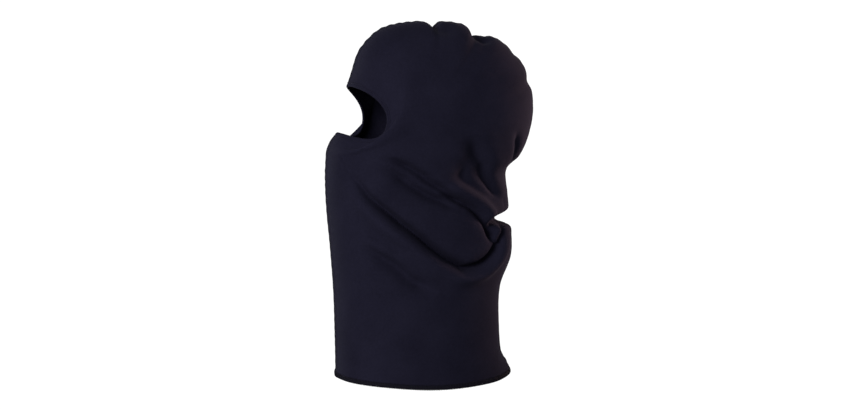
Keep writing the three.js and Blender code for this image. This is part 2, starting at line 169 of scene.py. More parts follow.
# Folds: strength on the left and right, depth at the start, middle and end, breadth, lip, how
# crisp the crease is, how much steeper it is on one side, and its path of turn and drop
FOLDS = [
    # The long sling fold, from the tuck down the neck and up to the throat
    (1, 0.6, 0.3, 1.75, 0.1, 1.1, -0.4, 0.68, 0.3,
     [(0.845, 0.562), (0.815, 0.568), (0.788, 0.581), (0.762, 0.601), (0.732, 0.630),
      (0.695, 0.658), (0.655, 0.676), (0.606, 0.681), (0.575, 0.672), (0.537, 0.656),
      (0.504, 0.637), (0.475, 0.617), (0.446, 0.594), (0.417, 0.573), (0.388, 0.555),
      (0.358, 0.534), (0.325, 0.513), (0.287, 0.49), (0.246, 0.456), (0.204, 0.43),
      (0.163, 0.398)]),
    # The fold from the tuck up over the jaw
    (1, 0.7, 1.1, 1.3, 0, 0.95, 0.38, 0.55, 0.35,
     [(0.712, 0.592), (0.70, 0.576), (0.684, 0.554), (0.66, 0.532), (0.632, 0.514),
      (0.602, 0.500), (0.573, 0.489), (0.545, 0.478), (0.52, 0.467)]),
    # The thin fold that carries it on to the cheek
    (1, 0.7, 0.2, 0.95, 0, 0.75, 0.2, 0.35, 0.2,
     [(0.585, 0.488), (0.56, 0.476), (0.528, 0.461), (0.492, 0.445), (0.455, 0.429),
      (0.415, 0.412), (0.38, 0.396), (0.345, 0.382), (0.31, 0.371)]),
    # The softer fold just below that one
    (1, 0.8, 0.3, 0.95, 0, 1.1, 0, 0.3, 0,
     [(0.588, 0.520), (0.56, 0.511), (0.53, 0.497), (0.50, 0.487), (0.47, 0.474),
      (0.442, 0.459), (0.412, 0.444), (0.378, 0.429), (0.34, 0.413), (0.30, 0.398)]),
    # The soft fold below the sling fold
    (1, 0.7, 0, 0.8, 0, 1.2, -0.3, 0.1, 0.2,
     [(0.225, 0.607), (0.267, 0.624), (0.308, 0.644), (0.346, 0.661), (0.379, 0.680),
      (0.412, 0.702), (0.45, 0.718), (0.483, 0.732), (0.521, 0.740)]),
    # A faint ripple between the two
    (1, 0.7, 0, 0.25, 0, 1.0, 0, 0, 0,
     [(0.242, 0.55), (0.279, 0.576), (0.312, 0.599), (0.346, 0.617), (0.379, 0.633),
      (0.412, 0.649)]),
    # The groove behind the ear
    (1, 0.8, 0, 0.8, 0.2, 1.2, 0.12, 0.2, 0,
     [(0.560, 0.312), (0.568, 0.333), (0.583, 0.354), (0.606, 0.376), (0.642, 0.400),
      (0.69, 0.426), (0.727, 0.450), (0.757, 0.471), (0.79, 0.487), (0.83, 0.497)]),
    # The groove below it
    (1, 0.7, 0, 0.55, 0.15, 1.25, 0, 0.15, 0,
     [(0.555, 0.368), (0.562, 0.397), (0.594, 0.429), (0.627, 0.453), (0.668, 0.471),
      (0.72, 0.491), (0.765, 0.504), (0.82, 0.512)]),
    # The broad hollow that both of them lie in
    (1, 0.7, 0.1, 0.38, 0.2, 2.2, 0, 0, 0,
     [(0.560, 0.345), (0.585, 0.385), (0.625, 0.420), (0.68, 0.450), (0.75, 0.48)]),
    # The short groove at the back of the head
    (1, 0.5, 0, 0.5, 0.2, 0.9, 0.15, 0.3, 0,
     [(0.728, 0.30), (0.773, 0.347), (0.819, 0.384), (0.909, 0.412)]),
]

# The deep tuck behind the neck, in the same columns
PINCH = (1, 1, 1, 0.8, 0.3, 1, 0, 0, 0,
         [(1, 0.552), (0.9, 0.551), (0.81, 0.550), (0.76, 0.553), (0.725, 0.565), (0.712, 0.588)])

# Share of a path over which a fold deepens, steps from one point of a path to the next, and how
# far to either side a fold and its lip reach
FULL_SHARE = 0.3
PATH_STEPS = 4
FOLD_REACH = 4
LIP_REACH = 5

# Gathers of the crown seam and the dimples below it: place along the seam, depth, breadth, reach
# away from the seam and distance of the middle from it
GATHERS = [
    (0.562, 0.45, 1.2, 0.30, 0),
    (0.620, 0.25, 0.8, 0.18, 0),
    (0.688, 0.60, 1.3, 0.35, 0),
    (0.708, 1.05, 0.90, 0.30, 0),
    (0.786, 0.90, 0.85, 0.24, 0),
    (0.953, -0.18, 3.0, 0.50, 0),
    (0.690, 0.60, 1.1, 0.06, 0.20),
    (0.768, 0.50, 1.3, 0.09, 0.22),
]

# The cheek's fullness beside the face opening and the hem's sag at its sides: amount, middle and
# spread in turns, and reach
CHEEK_FULL = 4.5
CHEEK_TURN = 0.5
CHEEK_SPREAD = 0.17
CHEEK_REACH = 27
HEM_SAG = 1.8
HEM_SAG_TURN = 0.5
HEM_SAG_SPREAD = 0.13
HEM_SAG_HEIGHT = 45


def plain_point(along, turn, side):
    """A point of the hood's plain form. turn goes from 0 at the throat to 1 at the back."""
    c = smooth_at(along, KNOT_PLACES, KNOT_VALUES)
    front_y, front_z, back_y, back_z, half, bow, low, square = np.moveaxis(c, -1, 0)
    half_y = (back_y - front_y) / 2
    half_z = (back_z - front_z) / 2
    length = np.hypot(half_y, half_z)
    cosine = np.cos(turn * math.pi)
    sine = np.sin(turn * math.pi)
    across = sine * sine
    share = -cosine * (1 + square * across) - low * across
    return np.stack(
        [
            side * half * sine * (1 + square * SQUARE_WIDENS * cosine * cosine),
            (front_y + back_y) / 2 + half_y * share + half_z / length * bow * across,
            (front_z + back_z) / 2 + half_z * share - half_y / length * bow * across,
        ],
        axis=-1,
    )


def unit(vectors):
    """The vectors' directions."""
    return vectors / np.maximum(np.linalg.norm(vectors, axis=-1, keepdims=True), 1e-12)


def plain_normal(along, turn, side):
    """The outward direction of the plain form."""
    reach = 0.5
    lower = plain_point(np.maximum(along - reach, 0), turn, side)
    upper = plain_point(np.minimum(along + reach, SEAM_LENGTH), turn, side)
    near = reach / HALF_GIRTH
    before = plain_point(along, turn - near, side)
    after = plain_point(along, turn + near, side)
    return unit(np.cross(after - before, upper - lower) * side)


def smoothstep(x, low, high):
    """A soft rise from 0 at low to 1 at high."""
    t = np.clip((x - low) / (high - low), 0, 1)
    return t * t * (3 - 2 * t)


def fold_steps(path):
    """A fold's path as short straight steps over the unrolled cloth."""
    knots = np.array(path) * (HALF_GIRTH, HOOD_DROP)
    places = np.arange(len(knots), dtype=float)
    count = PATH_STEPS * (len(knots) - 1)
    return smooth_at(np.arange(count + 1) / PATH_STEPS, places, knots)


def fold_depth(fold, around, down, full_depth):
    """Depth of one fold at places on the unrolled cloth."""
    _, _, start, middle, end, breadth, lip, crisp, skew, path = fold
    steps = fold_steps(path)
    reach = (FOLD_REACH * breadth + LIP_REACH) * FOLD_BREADTH
    low = steps.min(axis=0) - reach
    high = steps.max(axis=0) + reach
    close = (around > low[0]) & (around < high[0]) & (down > low[1]) & (down < high[1])
    x = around[close]
    y = down[close]
    nearest = np.full(x.shape, np.inf)
    hand = np.zeros_like(x)
    share = np.zeros_like(x)
    for i in range(len(steps) - 1):
        step_x, step_y = steps[i + 1] - steps[i]
        to_x = x - steps[i, 0]
        to_y = y - steps[i, 1]
        at = np.clip((to_x * step_x + to_y * step_y) / (step_x**2 + step_y**2), 0, 1)
        distance = np.hypot(to_x - at * step_x, to_y - at * step_y)
        nearer = distance < nearest
        nearest = np.where(nearer, distance, nearest)
        hand = np.where(nearer, np.sign(step_x * to_y - step_y * to_x), hand)
        share = np.where(nearer, (i + at) / (len(steps) - 1), share)
    ends = np.where(share < 0.5, start, end)
    depth = ends + (middle - ends) * smoothstep(np.minimum(share, 1 - share), 0, FULL_SHARE)
    steeper = 1 - skew * hand * np.sign(lip)
    away = nearest / (breadth * steeper * FOLD_BREADTH)
    crease = (1 - crisp) * np.exp(-(away**2)) + crisp * np.exp(-((away / CREASE_BREADTH) ** 2))
    groove = depth * full_depth * crease
    lip_place = nearest * hand * np.sign(lip) - LIP_OFFSET * FOLD_BREADTH
    lip_away = lip_place / (LIP_BREADTH * FOLD_BREADTH)
    raised = depth * abs(lip) * full_depth * np.exp(-(lip_away**2))
    found = np.zeros_like(around)
    found[close] = groove - raised
    return found


def drape(along, turn, z, side):
    """How far the worn cloth lies outside its plain form."""
    around = turn * HALF_GIRTH
    down = TOP_Z - z
    own = 0 if side > 0 else 1
    out = -PINCH[own] * fold_depth(PINCH, around, down, PINCH_DEPTH)
    for fold in FOLDS:
        out -= fold[own] * fold_depth(fold, around, down, FOLD_DEPTH)
    from_seam = (1 - turn) * HALF_GIRTH
    for place, depth, breadth, reach, middle in GATHERS:
        away = (along - place * SEAM_LENGTH) / (breadth * GATHER_BREADTH)
        aside = (from_seam - middle * HOOD_WIDTH) / (reach * HOOD_WIDTH)
        out -= depth * GATHER_DEPTH * np.exp(-(away**2) - aside**2)
    above_hem = z - (TOP_Z - HOOD_DROP + HEM_EDGE)
    flare = smoothstep(FLARE_HEIGHT - above_hem, 0, FLARE_HEIGHT)
    return out + FLARE_OUT * flare * np.exp(-((from_seam / FLARE_BREADTH) ** 2))


# Points of each side's grid, and how often the inside's directions are evened
ROWS = 330
COLUMNS = 148
EVENING_PASSES = 12

# How the cloth lies beside its seams: a low ridge, a dip, small puckers whose pitch drifts by
# shares over some lengths, and the hair's breadth between the two sides
SEAM_RIDGE = 0.5
SEAM_RIDGE_AWAY = 3.2
SEAM_RIDGE_BREADTH = 2.2
SEAM_DIP = 0.5
SEAM_DIP_BREADTH = 1.5
PUCKER_DEPTH = 0.45
PUCKER_REACH = 11
PUCKER_PITCH = 10.5
PUCKER_DRIFTS = ((0.35, 31), (0.22, 13.7))
JOINT_GAP = 0.002

# Reach beside the seams within which both sides share their folds and their unevenness
SHARED_FOLDS = 14
SHARED_SLACK = 20

# The cloth's unevenness: depth of its broad and fine waves, then the length of each wave
BROAD_SLACK = 0.35
BROAD_LENGTHS = {"x": 41, "y": 23, "z": 29, "bend": 37}
BROAD_BEND = 0.9
FINE_SLACK = 0.2
FINE_LENGTHS = {"x": 19, "y": 13, "z": 17, "slant": 33}
FINE_SHIFTS = (1.3, 0.4)


def sewn(along, turn, z):
    """The low ridge and the small puckers that the seams leave in the cloth."""
    out = np.zeros_like(along)
    for away, place in ((turn * HALF_GIRTH, -z), ((1 - turn) * HALF_GIRTH, along)):
        out += SEAM_RIDGE * np.exp(-(((away - SEAM_RIDGE_AWAY) / SEAM_RIDGE_BREADTH) ** 2))
        out -= SEAM_DIP * np.exp(-((away / SEAM_DIP_BREADTH) ** 2))
        wave = place / PUCKER_PITCH
        for share, length in PUCKER_DRIFTS:
            wave = wave + share * np.sin(place / length)
        out += PUCKER_DEPTH * np.sin(2 * math.pi * wave) * np.exp(-away / PUCKER_REACH)
    return out


def slack(point):
    """The cloth's faint unevenness, as a few long soft waves."""
    x, y, z = np.moveaxis(point, -1, 0)
    bend = BROAD_BEND * np.sin(z / BROAD_LENGTHS["bend"])
    broad = np.sin(y / BROAD_LENGTHS["y"] + bend)
    broad = broad * np.sin(z / BROAD_LENGTHS["z"] + x / BROAD_LENGTHS["x"])
    fine = np.sin(z / FINE_LENGTHS["z"] + y / FINE_LENGTHS["y"] + FINE_SHIFTS[0])
    fine = fine * np.sin(x / FINE_LENGTHS["x"] - z / FINE_LENGTHS["slant"] + FINE_SHIFTS[1])
    return BROAD_SLACK * broad + FINE_SLACK * fine


def worn_grid(side):
    """One side's outside, as rows of points from the hem to the face opening."""
    along, turn = np.meshgrid(
        np.linspace(0, SEAM_LENGTH, ROWS), np.linspace(0, 1, COLUMNS), indexing="ij"
    )
    point = plain_point(along, turn, side)
    z = point[..., 2]
    from_seam = np.minimum(turn, 1 - turn) * HALF_GIRTH
    shared = (drape(along, turn, z, 1) + drape(along, turn, z, -1)) / 2
    own = drape(along, turn, z, side)
    out = shared + (own - shared) * smoothstep(from_seam, 0, SHARED_FOLDS)
    out += sewn(along, turn, z)
    beside = (turn - CHEEK_TURN) / CHEEK_SPREAD
    steps = np.linalg.norm(np.diff(point[::-1], axis=0), axis=-1)
    from_edge = np.concatenate([np.zeros((1, COLUMNS)), np.cumsum(steps, axis=0)])[::-1]
    close = np.exp(-from_edge / CHEEK_REACH)
    out += CHEEK_FULL * close * np.exp(-(beside**2))
    mirrored = point.copy()
    mirrored[..., 0] = np.abs(mirrored[..., 0])
    even = slack(mirrored)
    out += even + (slack(point) - even) * smoothstep(from_seam, 0, SHARED_SLACK)
    worn = point + plain_normal(along, turn, side) * out[..., None]
    low = 1 - smoothstep(z - z.min(), 0, HEM_SAG_HEIGHT)
    worn[..., 2] -= HEM_SAG * low * np.exp(-(((turn - HEM_SAG_TURN) / HEM_SAG_SPREAD) ** 2))
    worn[:, 0, 0] = 0
    worn[:, -1, 0] = 0
    return worn


def widened(grid):
    """The grid with the other side's next column beyond each seam."""
    mirror = np.array([-1, 1, 1])
    return np.concatenate([grid[:, 1:2] * mirror, grid, grid[:, -2:-1] * mirror], axis=1)


def grid_normals(grid, side):
    """Outward directions of one side's grid."""
    wide = widened(grid)
    around = wide[:, 2:] - wide[:, :-2]
    up = np.empty_like(grid)
    up[1:-1] = grid[2:] - grid[:-2]
    up[0] = grid[1] - grid[0]
    up[-1] = grid[-1] - grid[-2]
    return unit(np.cross(around, up) * side)


def evened(normals):
    """The normals averaged with their neighbours, so that the inside doesn't fold over itself."""
    for _ in range(EVENING_PASSES):
        wide = widened(normals)
        tall = np.concatenate([wide[:1], wide, wide[-1:]], axis=0)
        near = tall[:-2, 1:-1] + tall[2:, 1:-1] + tall[1:-1, :-2] + tall[1:-1, 2:]
        normals = unit(normals + near / 2)
    return normals


def mesh_object(name, points, faces, material):
    """A smooth mesh piece from points in millimetres and a list of faces."""
    data = bpy.data.meshes.new(name)
    data.from_pydata((points * MM).tolist(), [], faces)
    data.validate()
    data.polygons.foreach_set("use_smooth", [True] * len(data.polygons))
    data.materials.append(material)
    made = bpy.data.objects.new(name, data)
    bpy.context.scene.collection.objects.link(made)
    return made


def grid_faces(index, flipped=False):
    """Four-cornered faces between neighbouring points of a grid, or of many grids."""
    a, b = index[..., :-1, :-1], index[..., :-1, 1:]
    c, d = index[..., 1:, 1:], index[..., 1:, :-1]
    corners = (a, d, c, b) if flipped else (a, b, c, d)
    return np.stack(corners, axis=-1).reshape(-1, 4)


def strip_faces(one, other):
    """Faces that close the wall between two lines of points."""
    return np.stack([one[:-1], one[1:], other[1:], other[:-1]], axis=-1)


def turned_out(points, faces):
    """The faces turned so that the closed mesh encloses a positive volume."""
    a, b, c, d = (points[faces[:, k]] for k in range(4))
    volume = np.einsum("ij,ij->i", a, np.cross(b, c)).sum()
    volume += np.einsum("ij,ij->i", a, np.cross(c, d)).sum()
    return faces if volume > 0 else faces[:, ::-1]


def panel_mesh(name, outside, inside, side, material):
    """One side of the hood as a closed wall of cloth."""
    outer = outside.copy()
    inner = inside.copy()
    for skin in (outer, inner):
        skin[:, 0, 0] = side * JOINT_GAP
        skin[:, -1, 0] = side * JOINT_GAP
        skin[..., 0] = side * np.maximum(side * skin[..., 0], JOINT_GAP)
    points = np.concatenate([outer.reshape(-1, 3), inner.reshape(-1, 3)])
    rows, columns = outer.shape[:2]
    outer_index = np.arange(rows * columns).reshape(rows, columns)
    inner_index = outer_index + rows * columns
    faces = np.concatenate(
        [
            grid_faces(outer_index),
            grid_faces(inner_index, flipped=True),
            strip_faces(inner_index[0], outer_index[0]),
            strip_faces(outer_index[-1], inner_index[-1]),
            strip_faces(outer_index[:, 0], inner_index[:, 0]),
            strip_faces(inner_index[:, -1], outer_index[:, -1]),
        ]
    )
    return mesh_object(name, points, turned_out(points, faces).tolist(), material)


def ring_mesh(name, sections, material):
    """A closed ring through equal sections, given as an array of [station, corner, xyz]."""
    count, corners = sections.shape[:2]
    index = np.arange(count * corners).reshape(count, corners)
    index = np.concatenate([index, index[:, :1]], axis=1)
    index = np.concatenate([index, index[:1]], axis=0)
    points = sections.reshape(-1, 3)
    return mesh_object(name, points, turned_out(points, grid_faces(index)).tolist(), material)


# Corners round a thread, its breadth at the ends and a direction that no thread takes
THREAD_CORNERS = 5
THREAD_END = 0.35
ODD_DIRECTION = np.array([0.31, 0.52, 0.79])


def circle_angles(count):
    """Equal steps round a full turn."""
    return np.arange(count) / count * 2 * math.pi


def thread_sections(line, radius):
    """Round sections along each of many short lines, given as [thread, station, xyz]."""
    step = np.empty_like(line)
    step[:, 1:-1] = line[:, 2:] - line[:, :-2]
    step[:, 0] = line[:, 1] - line[:, 0]
    step[:, -1] = line[:, -1] - line[:, -2]
    step = unit(step)
    aside = unit(np.cross(step, ODD_DIRECTION))
    up = np.cross(step, aside)
    angle = circle_angles(THREAD_CORNERS)[:, None]
    ends = np.ones(line.shape[1])
    ends[[0, -1]] = THREAD_END
    ring = aside[:, :, None] * np.cos(angle) + up[:, :, None] * np.sin(angle)
    return line[:, :, None] + ring * (radius * ends)[None, :, None, None]


def threads_mesh(name, line, radius, material):
    """Many short threads as one piece, each capped at both ends."""
    rings = thread_sections(line, radius)
    count, stations, corners = rings.shape[:3]
    index = np.arange(count * stations * corners).reshape(count, stations, corners)
    faces = grid_faces(np.concatenate([index, index[..., :1]], axis=2)).tolist()
    faces += index[:, 0, ::-1].tolist()
    faces += index[:, -1].tolist()
    return mesh_object(name, rings.reshape(-1, 3), faces, material)


# Noises of the cloth, the thread and the floor: scale to the metre, detail and roughness
FUZZ = (1500, 4, 0.7)
MOTTLE = (420, 2, 0.6)
BLOOM = (22, 3, 0.5)
TWIST = (1900, 2, 0.5)
FLOOR_MOTTLE = (3, 2, 0.5)

# Spans of a noise that are stretched to a full range
NOISE_SPAN = (0.3, 0.7)
WIDE_SPAN = (0.2, 0.8)

# The knit's loops: slant of their legs, depth of their rows, roundness of their ribs and how
# strongly the surface follows the cloth's three planes
LEG_SLANT = 1.3
ROW_DEPTH = 0.3
RIB_ROUNDNESS = 3.4
PLANE_POWER = 4

# Look of the knit
FUZZ_SHARE = 0.5
MOTTLE_SHARE = 0.45
BLOOM_SHARE = 0.55
# Painted shade in the loops' valleys: the span of the loops' height, and how much of the colour
# is left from valley to top
LOOP_SPAN = (0.1, 0.9)
PAINTED_VALLEY_SHADE = (0.55, 1.0)
KNIT_BUMP = 0.55
KNIT_ROUGHNESS = (0.86, 1.0)
KNIT_SPECULAR = 0.03
SHEEN_ROUGHNESS = 0.35
SHEEN_TINT = (0.72, 0.70, 0.95, 1)

# Look of the thread
THREAD_BUMP = 0.4
THREAD_BUMP_HEIGHT = 0.0001
THREAD_ROUGHNESS = (0.55, 0.8)
THREAD_SPECULAR = 0.06
THREAD_SHEEN = 0.01

# Places of a mix node's two colours among its inputs, and of its colour among its outputs
MIX_COLOURS = (6, 7)
MIXED_COLOUR = 2


def new_material(name):
    """An empty material with its node tree and its shader."""
    material = bpy.data.materials.new(name)
    material.use_nodes = True
    nodes = material.node_tree.nodes
    nodes.clear()
    output = nodes.new("ShaderNodeOutputMaterial")
    shader = nodes.new("ShaderNodeBsdfPrincipled")
    material.node_tree.links.new(shader.outputs["BSDF"], output.inputs["Surface"])
    return material, material.node_tree, shader


def math_node(tree, operation, first, second=None, third=None):
    """One calculation with numbers and sockets."""
    node = tree.nodes.new("ShaderNodeMath")
    node.operation = operation
    for socket, value in zip(node.inputs, (first, second, third)):
        if value is None:
            continue
        if isinstance(value, (int, float)):
            socket.default_value = value
        else:
            tree.links.new(value, socket)
    return node.outputs[0]


def noise_node(tree, position, scale, detail, rough):
    """A noise from 0 to 1 over a position."""
    node = tree.nodes.new("ShaderNodeTexNoise")
    tree.links.new(position, node.inputs["Vector"])
    node.inputs["Scale"].default_value = scale
    node.inputs["Detail"].default_value = detail
    node.inputs["Roughness"].default_value = rough
    return node.outputs["Fac"]


def range_node(tree, value, span, results=(0.0, 1.0)):
    """A value stretched from one span to another."""
    node = tree.nodes.new("ShaderNodeMapRange")
    tree.links.new(value, node.inputs["Value"])
    for name, number in zip(("From Min", "From Max", "To Min", "To Max"), (*span, *results)):
        node.inputs[name].default_value = number
    return node.outputs["Result"]


def mix_colours(tree, factor, colours):
    """Two colours mixed by a factor."""
    node = tree.nodes.new("ShaderNodeMix")
    node.data_type = "RGBA"
    node.clamp_factor = True
    tree.links.new(factor, node.inputs["Factor"])
    for place, colour in zip(MIX_COLOURS, colours):
        node.inputs[place].default_value = (*colour, 1)
    return node.outputs[MIXED_COLOUR]


def add_bump(tree, shader, height, strength, distance):
    """Fine relief from a height on a shader's surface."""
    bump = tree.nodes.new("ShaderNodeBump")
    bump.inputs["Strength"].default_value = strength
    bump.inputs["Distance"].default_value = distance
    tree.links.new(height, bump.inputs["Height"])
    tree.links.new(bump.outputs["Normal"], shader.inputs["Normal"])


def knit_height(tree, across, up, wale, course):
    """Height of plain knitting: rows of V-shaped loops."""
    wales = math_node(tree, "DIVIDE", across, wale)
    part = math_node(tree, "FRACT", wales)
    off = math_node(tree, "ABSOLUTE", math_node(tree, "SUBTRACT", part, 0.5))
    courses = math_node(tree, "DIVIDE", up, course)
    leg = math_node(tree, "MULTIPLY_ADD", off, -LEG_SLANT, courses)
    wave = math_node(tree, "COSINE", math_node(tree, "MULTIPLY", leg, 2 * math.pi))
    squared = math_node(tree, "MULTIPLY", off, off)
    ridge = math_node(tree, "MULTIPLY_ADD", squared, -RIB_ROUNDNESS, 1.0)
    loops = math_node(tree, "MULTIPLY_ADD", wave, ROW_DEPTH, 1 - ROW_DEPTH)
    return math_node(tree, "MULTIPLY", ridge, loops)


def knit_material(name, colours, wale, course, sheen, depth):
    """A fine matt knit, its loops laid out over whichever plane the cloth faces."""
    material, tree, shader = new_material(name)
    place = tree.nodes.new("ShaderNodeTexCoord").outputs["Object"]
    split = tree.nodes.new("ShaderNodeSeparateXYZ")
    tree.links.new(place, split.inputs[0])
    x, y, z = split.outputs
    facing = tree.nodes.new("ShaderNodeSeparateXYZ")
    geometry = tree.nodes.new("ShaderNodeNewGeometry")
    tree.links.new(geometry.outputs["Normal"], facing.inputs[0])
    sides, fronts, tops = (
        math_node(tree, "POWER", math_node(tree, "ABSOLUTE", out), PLANE_POWER)
        for out in facing.outputs
    )
    total = math_node(tree, "ADD", math_node(tree, "ADD", sides, fronts), tops)
    height = math_node(tree, "MULTIPLY", sides, knit_height(tree, y, z, wale, course))
    front = knit_height(tree, x, z, wale, course)
    height = math_node(tree, "MULTIPLY_ADD", fronts, front, height)
    top = knit_height(tree, y, x, wale, course)
    height = math_node(tree, "MULTIPLY_ADD", tops, top, height)
    height = math_node(tree, "DIVIDE", height, total)
    fuzz = noise_node(tree, place, *FUZZ)
    relief = math_node(tree, "MULTIPLY_ADD", fuzz, FUZZ_SHARE, height)
    add_bump(tree, shader, relief, KNIT_BUMP, depth)
    bloom = math_node(tree, "MULTIPLY", noise_node(tree, place, *BLOOM), BLOOM_SHARE)
    mottle = noise_node(tree, place, *MOTTLE)
    shade = math_node(tree, "MULTIPLY_ADD", mottle, MOTTLE_SHARE, bloom)
    shade = range_node(tree, shade, NOISE_SPAN)
    # The colour is darkened in the loops' valleys, as painted shade
    shade = math_node(tree, "MULTIPLY", shade, range_node(tree, height, LOOP_SPAN, PAINTED_VALLEY_SHADE))
    tree.links.new(mix_colours(tree, shade, colours), shader.inputs["Base Color"])
    rough = range_node(tree, mottle, WIDE_SPAN, KNIT_ROUGHNESS)
    tree.links.new(rough, shader.inputs["Roughness"])
    shader.inputs["Specular IOR Level"].default_value = KNIT_SPECULAR
    shader.inputs["Sheen Weight"].default_value = sheen
    shader.inputs["Sheen Roughness"].default_value = SHEEN_ROUGHNESS
    shader.inputs["Sheen Tint"].default_value = SHEEN_TINT
    return material


def thread_material(name, colours):
    """A twisted polyester thread."""
    material, tree, shader = new_material(name)
    place = tree.nodes.new("ShaderNodeTexCoord").outputs["Object"]
    twist = noise_node(tree, place, *TWIST)
    colour = mix_colours(tree, range_node(tree, twist, NOISE_SPAN), colours)
    tree.links.new(colour, shader.inputs["Base Color"])
    rough = range_node(tree, twist, WIDE_SPAN, THREAD_ROUGHNESS)
    tree.links.new(rough, shader.inputs["Roughness"])
    add_bump(tree, shader, twist, THREAD_BUMP, THREAD_BUMP_HEIGHT)
    shader.inputs["Specular IOR Level"].default_value = THREAD_SPECULAR
    shader.inputs["Sheen Weight"].default_value = THREAD_SHEEN
    return material


KNIT = knit_material(
    "navy_knit",
    colours=((0.0072, 0.0068, 0.0142), (0.0136, 0.0130, 0.0256)),
    wale=0.0010,
    course=0.0008,
    sheen=0.015,
    depth=0.0002,
)
BINDING = knit_material(
    "navy_edge",
    colours=((0.0066, 0.0062, 0.0130), (0.0126, 0.0120, 0.0237)),
    wale=0.0009,
    course=0.0007,
    sheen=0.01,
    depth=0.00018,
)
THREAD = thread_material(
    "navy_thread", colours=((0.0030, 0.0028, 0.0055), (0.0080, 0.0075, 0.0140))
)


def dressed_side(name, side):
    """One side's cloth, with the grids that the edges and the seams follow."""
    outside = worn_grid(side)
    normals = evened(grid_normals(outside, side))
    inside = outside - normals * WALL
    piece = panel_mesh(name, outside, inside, side, KNIT)
    return {"outside": outside, "inside": inside, "normals": normals, "piece": piece}


cloths = {1: dressed_side("left_cloth", 1), -1: dressed_side("right_cloth", -1)}

# Rows of the cloth at each opening: the cut edge and the row beside it
FACE_ROWS = (-1, -2)
HEM_ROWS = (0, 1)

# Corners of a rolled edge, how round they are and how far apart the stitches draw it in
EDGE_CORNERS = 16
EDGE_ROUNDING = 0.8
LUMP_PITCH = 3.1

# Stations round an opening that stitches are laid on, and how a short stitch rises and dips
EDGE_STATIONS = 4000
STITCH_RISE = np.array([-0.35, 0.1, 0.2, 0.1, -0.35])

# The overlocked hem: steps round each turn of its thread, how far the turns reach over the edge
# and onto the cloth, and how far they stand off its middle
LOOP_STEPS = 14
LOOP_OVER = 2.4
LOOP_ONTO = 2.1
LOOP_STAND = 1.75


def edge_line(rows):
    """Stations round an opening: middle of the cut edge, outward normal and way off the cloth."""
    row, beside = rows
    found = []
    for side in (1, -1):
        cloth = cloths[side]
        middle = (cloth["outside"][row] + cloth["inside"][row]) / 2
        away = cloth["outside"][row] - cloth["outside"][beside]
        line = np.stack([middle, cloth["normals"][row], away], axis=1)
        found.append(line[:-1] if side > 0 else line[1:][::-1])
    middle, outwards, away = np.moveaxis(np.concatenate(found), 1, 0)
    ring = np.roll(middle, -1, axis=0) - np.roll(middle, 1, axis=0)
    square = unit(np.cross(ring, outwards))
    square *= np.sign(np.einsum("ij,ij->i", square, away))[:, None]
    return middle, unit(outwards), square


def resampled(line, count):
    """Stations at equal steps round a closed line of several vectors each."""
    middle = line[0]
    steps = np.linalg.norm(np.roll(middle, -1, axis=0) - middle, axis=1)
    places = np.concatenate([[0], np.cumsum(steps)])
    wanted = np.arange(count) / count * places[-1]
    found = []
    for vectors in line:
        looped = np.concatenate([vectors, vectors[:1]])
        found.append(
            np.stack([np.interp(wanted, places, looped[:, k]) for k in range(3)], axis=1)
        )
    return found[0], unit(found[1]), unit(found[2]), places[-1]


def rounded(wave):
    """A sine or cosine with fuller corners."""
    return np.sign(wave) * np.abs(wave) ** EDGE_ROUNDING


def edge_body(name, rows, material, width, thickness, overlap, stations, lumps):
    """A rolled edge round an opening, with small lumps where its stitches draw it in."""
    middle, outwards, square, length = resampled(edge_line(rows), stations)
    angle = circle_angles(EDGE_CORNERS)
    half = (width + GAP + overlap) / 2
    centre = middle + square * (half - overlap)
    wave = 1 + lumps * np.sin(circle_angles(stations) * round(length / LUMP_PITCH))
    stand = (thickness / 2 * wave)[:, None, None]
    sections = centre[:, None] + square[:, None] * (half * rounded(np.cos(angle)))[:, None]
    sections = sections + outwards[:, None] * stand * rounded(np.sin(angle))[:, None]
    return ring_mesh(name, sections, material)


face_edge = edge_body(
    "face_edge",
    FACE_ROWS,
    BINDING,
    width=BINDING_WIDTH,
    thickness=2.7,
    overlap=0.8,
    stations=520,
    lumps=0.05,
)
hem_edge = edge_body(
    "hem_edge",
    HEM_ROWS,
    THREAD,
    width=HEM_HEIGHT,
    thickness=3.3,
    overlap=1.2,
    stations=700,
    lumps=0.03,
)


def edge_stitches(name, rows, material, offset, lift, pitch, length, radius):
    """A row of straight stitches beside an opening, on the outside of the cloth."""
    middle, outwards, square, total = resampled(edge_line(rows), EDGE_STATIONS)
    count = round(total / pitch)
    along = np.linspace(0, length / pitch, len(STITCH_RISE))
    places = (np.arange(count)[:, None] + along[None]) / count
    index = np.round(places * EDGE_STATIONS).astype(int) % EDGE_STATIONS
    rise = STITCH_RISE + lift
    line = middle[index] + square[index] * offset + outwards[index] * rise[None, :, None]
    return threads_mesh(name, line, radius, material)


face_stitches = edge_stitches(
    "face_stitches",
    FACE_ROWS,
    THREAD,
    offset=-1.9,
    lift=WALL / 2 + 0.1,
    pitch=2.6,
    length=2.0,
    radius=0.22,
)


